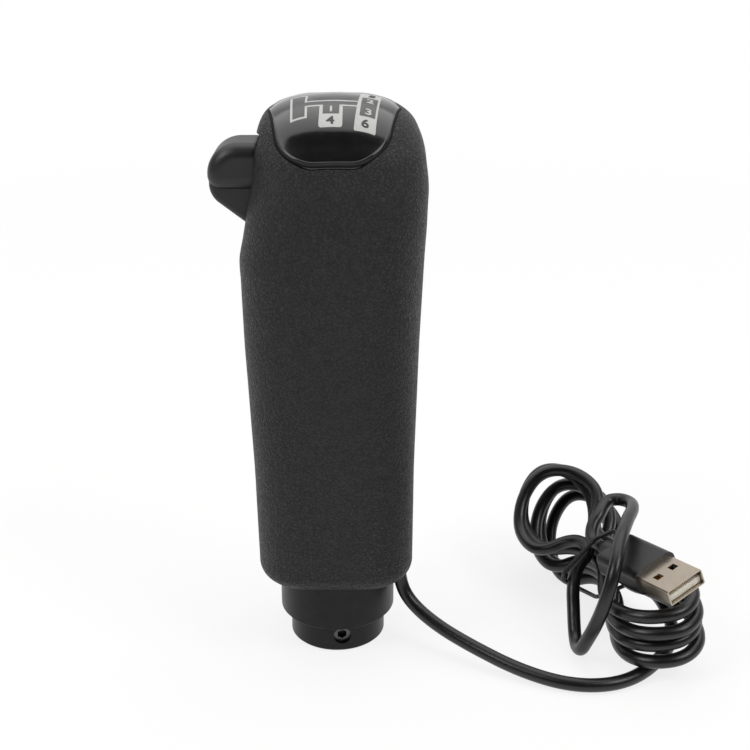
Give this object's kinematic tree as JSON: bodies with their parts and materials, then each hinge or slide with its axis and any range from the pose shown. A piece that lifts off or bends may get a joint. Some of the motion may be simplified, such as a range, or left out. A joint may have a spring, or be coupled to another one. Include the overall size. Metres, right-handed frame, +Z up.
{
  "type": "usb shift knob",
  "caption": "Tall truck-style shift knob with a thumb paddle, a range flap, a clamp adapter base and a tied USB cable.",
  "frame": {"origin": "centre of the shaft bore's mouth, on the plane that the base stands on", "axes": "+Z up along the grip, -Y towards the driver, -X towards the splitter paddle"},
  "size_m": [0.1342, 0.0814, 0.1545],
  "materials": {
    "black_anodised": "satin",
    "screw_steel": "satin",
    "core_nylon": "matte",
    "grained_skin": "satin",
    "cap_plastic": "gloss",
    "paddle_plastic": "satin",
    "switch_plastic": "matte",
    "plunger_plastic": "satin",
    "board_laminate": "satin",
    "connector_plastic": "matte",
    "cable_pvc": "satin",
    "plug_nickel": "satin",
    "contact_gold": "gloss"
  },
  "bodies": {
    "body": {"shaft_adapter": "black_anodised", "grub_screws": "screw_steel", "core_left": "core_nylon", "core_right": "core_nylon", "grip_skin": "grained_skin", "pattern_cap": "cap_plastic", "cap_gasket": "core_nylon", "splitter_pin": "screw_steel", "range_pin": "screw_steel", "splitter_switch": "switch_plastic", "range_switch": "switch_plastic", "switch_frame": "core_nylon", "frame_screws": "screw_steel", "board_screws": "screw_steel", "clamp_screws": "screw_steel", "usb_board": "board_laminate", "controller_chip": "switch_plastic", "board_connectors": "connector_plastic", "inner_cable": "cable_pvc", "cable_grommet": "cable_pvc", "switch_wires": "cable_pvc", "cable_lead": "cable_pvc", "cable_hank": "cable_pvc", "cable_tie": "cable_pvc", "plug_overmould": "cable_pvc", "plug_shell": "plug_nickel", "plug_tongue": "connector_plastic", "plug_contacts": "contact_gold"},
    "splitter": {"splitter_paddle": "paddle_plastic"},
    "range": {"range_flap": "paddle_plastic"},
    "splitter_stud": {"splitter_plunger": "plunger_plastic"},
    "range_stud": {"range_plunger": "plunger_plastic"}
  },
  "joints": [
    {"name": "splitter_rock", "type": "hinge", "parent": "body", "child": "splitter", "pos_m": [-0.012, 0.0005, 0.134], "axis": [0, 1, 0], "range_deg": [0, 10]},
    {"name": "range_rock", "type": "hinge", "parent": "body", "child": "range", "pos_m": [0.0005, 0.0165, 0.134], "axis": [1, 0, 0], "range_deg": [0, 10]},
    {"name": "splitter_press", "type": "slide", "parent": "body", "child": "splitter_stud", "axis": [0, 0, -1], "range_m": [0, 0.0013]},
    {"name": "range_press", "type": "slide", "parent": "body", "child": "range_stud", "axis": [0, 0, -1], "range_m": [0, 0.0013]}
  ],
  "couplings": [
    {"joint": "splitter_press", "follows": "splitter_rock", "m_per_rad": 0.0072},
    {"joint": "range_press", "follows": "range_rock", "m_per_rad": 0.0072}
  ]
}
